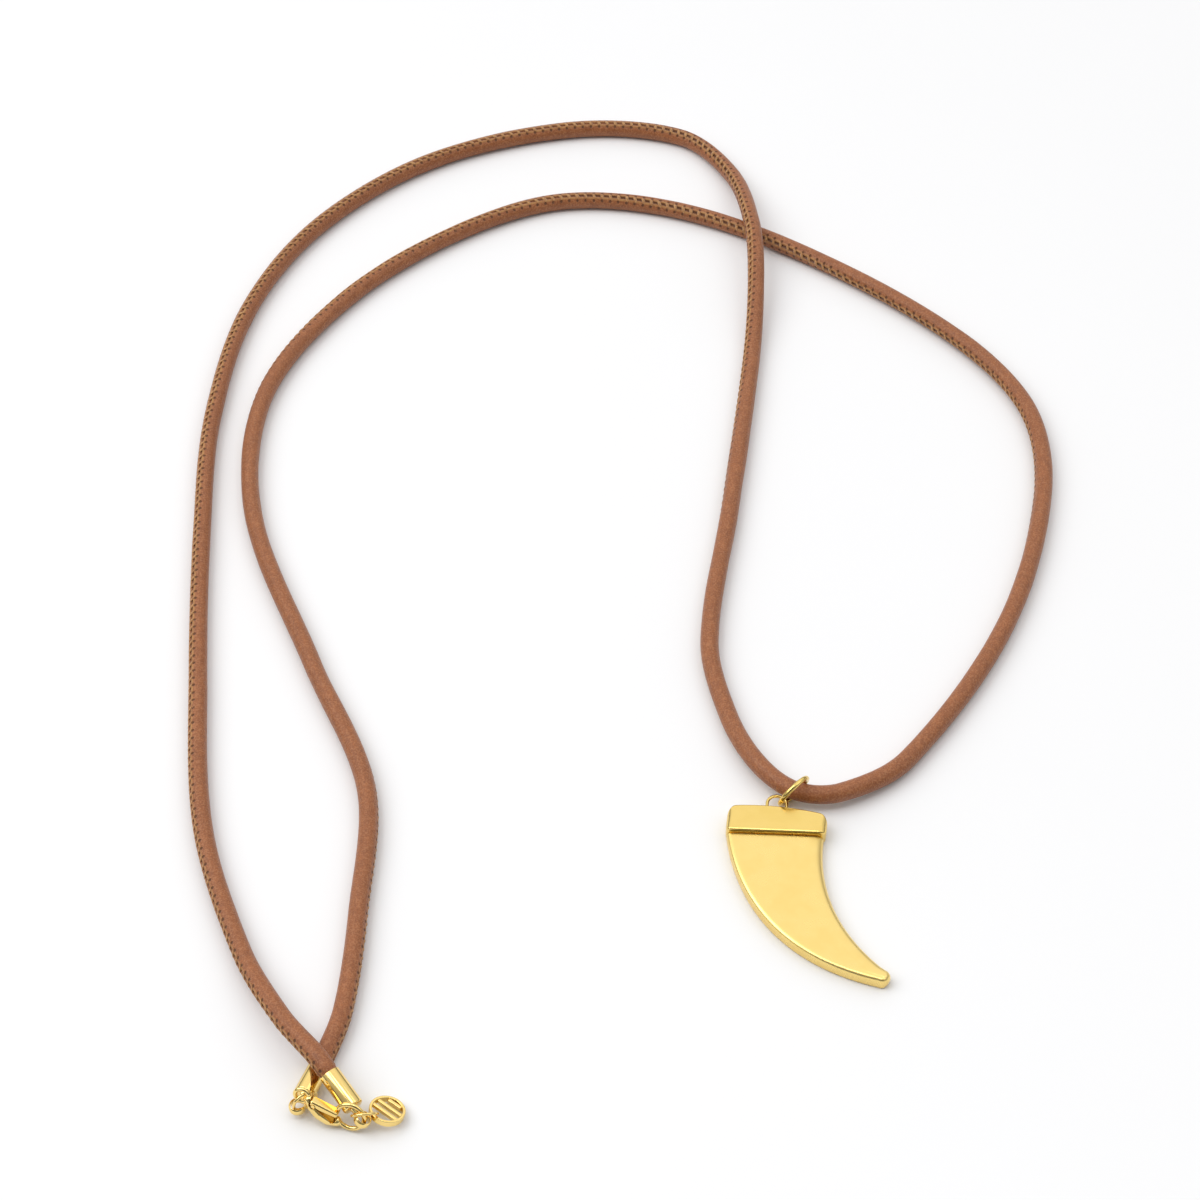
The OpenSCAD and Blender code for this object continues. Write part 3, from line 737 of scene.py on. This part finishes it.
def make_metal():
    """Every metal part. The small rings and the lever's pin keep their CAD mesh."""
    satin = gold_material("gold_satin_face", (0.92, 0.69, 0.25), (0.84, 0.59, 0.175),
                          rough=0.26, haze=0.08, scratch=0.35)
    bright = gold_material("gold_bright_band", (0.86, 0.625, 0.20), (0.80, 0.55, 0.14),
                           rough=0.17, haze=0.06, scratch=0.3)
    polish = gold_material("gold_polished", (0.94, 0.70, 0.26), (0.80, 0.53, 0.15),
                           rough=0.07, haze=0.05, scratch=0.2)
    ring_gold = gold_material("gold_ring_wire", (0.84, 0.62, 0.20), (0.62, 0.42, 0.10),
                              rough=0.1, haze=0.08, scratch=0.25)
    make_tooth(satin)
    make_collar(bright)
    make_cap("cap_under", "cap_a", CAP_A_EYE, CAP_A_TURN, polish)
    make_cap("cap_over", "cap_b", CAP_B_EYE, CAP_B_TURN, polish)
    make_tag(polish)
    cast("clasp_casting", "clasp_body", "necklace", polish)
    cast("lever_casting", "clasp_lever", "lever", polish)
    for node in ("pendant_ring", "clasp_ring", "tag_ring", "lever_pin"):
        materials = bpy.data.objects[node].data.materials
        materials.clear()
        materials.append(ring_gold if node == "pendant_ring" else polish)


# Table and studio light, in metres and watts. Every light points at one place.
TABLE_HALF, LIGHT_AIM = 3.0, (-0.03, 0.05, 0)
# The way from the table to the camera, 48 degrees up: its parts along -Y and Z
CAMERA_Y, CAMERA_Z = 0.669, 0.743


def make_table():
    """A white table whose colour turns grey far beyond what the camera frames: painted shade for the metal
    to mirror.
    """
    s = principled("white_table", Roughness=0.75, Specular_IOR_Level=0.2)
    far = s.node("ShaderNodeVectorMath", {"operation": "LENGTH"}, Vector=s.coords()).outputs["Value"]
    pale = s.mix(s.noise(9, 2, 0.5), (0.88, 0.88, 0.885), (0.90, 0.90, 0.905))
    # Painted shade: the table's colour goes grey from 0.45 m to 1.3 m out, for darker reflections in the
    # metal
    s.set(Base_Color=s.mix(Sig(s, far).step(0.45, 1.3), pale, (0.5, 0.5, 0.5)))
    mesh = bpy.data.meshes.new("table")
    w = TABLE_HALF
    mesh.from_pydata([(-w, -w, 0), (w, -w, 0), (w, w, 0), (-w, w, 0)], [], [(0, 1, 2, 3)])
    mesh.materials.append(s.owner)
    obj = bpy.data.objects.new("table", mesh)
    bpy.context.scene.collection.objects.link(obj)


def make_light(name, at, size, power):
    data = bpy.data.lights.new(name, "AREA")
    data.shape, data.size, data.size_y, data.energy = "RECTANGLE", size[0], size[1], power
    obj = bpy.data.objects.new(name, data)
    obj.location = at
    obj.rotation_euler = (Vector(LIGHT_AIM) - Vector(at)).to_track_quat("-Z", "Y").to_euler()
    bpy.context.scene.collection.objects.link(obj)


def make_world():
    """A pale sky, brighter overhead and at the back, dim on the near side and behind the camera."""
    world = bpy.data.worlds.new("studio")
    bpy.context.scene.world = world
    s = Shader(world)
    xyz = s.node("ShaderNodeSeparateXYZ", Vector=s.coords("Generated"))
    y, z = Sig(s, xyz.outputs[1]), Sig(s, xyz.outputs[2])
    over = z.step(0.02, 0.36)
    behind = (y * CAMERA_Y + z * CAMERA_Z).step(0.70, 0.94)
    near_side = (-y).step(0.1, 0.7)
    camera = (z * CAMERA_Z - y * CAMERA_Y).step(0.92, 0.98)
    level = (0.18 + 0.58 * over + 0.35 * behind) * (1 - 0.62 * near_side) * (1 - 0.85 * camera)
    s.show("ShaderNodeBackground", "ShaderNodeOutputWorld",
           Color=s.mix(over, (0.93, 0.96, 1.0), (1.0, 1.0, 1.0)), Strength=level)


make_cord()
make_metal()
make_table()
make_world()
make_light("key", (-1.0, 0.1, 1.2), (1.2, 1.2), 11)
make_light("fill", (0.9, 0.0, 1.3), (1.0, 1.0), 2.2)
make_light("overhead", (-0.03, -0.1, 1.2), (0.5, 0.25), 1.2)
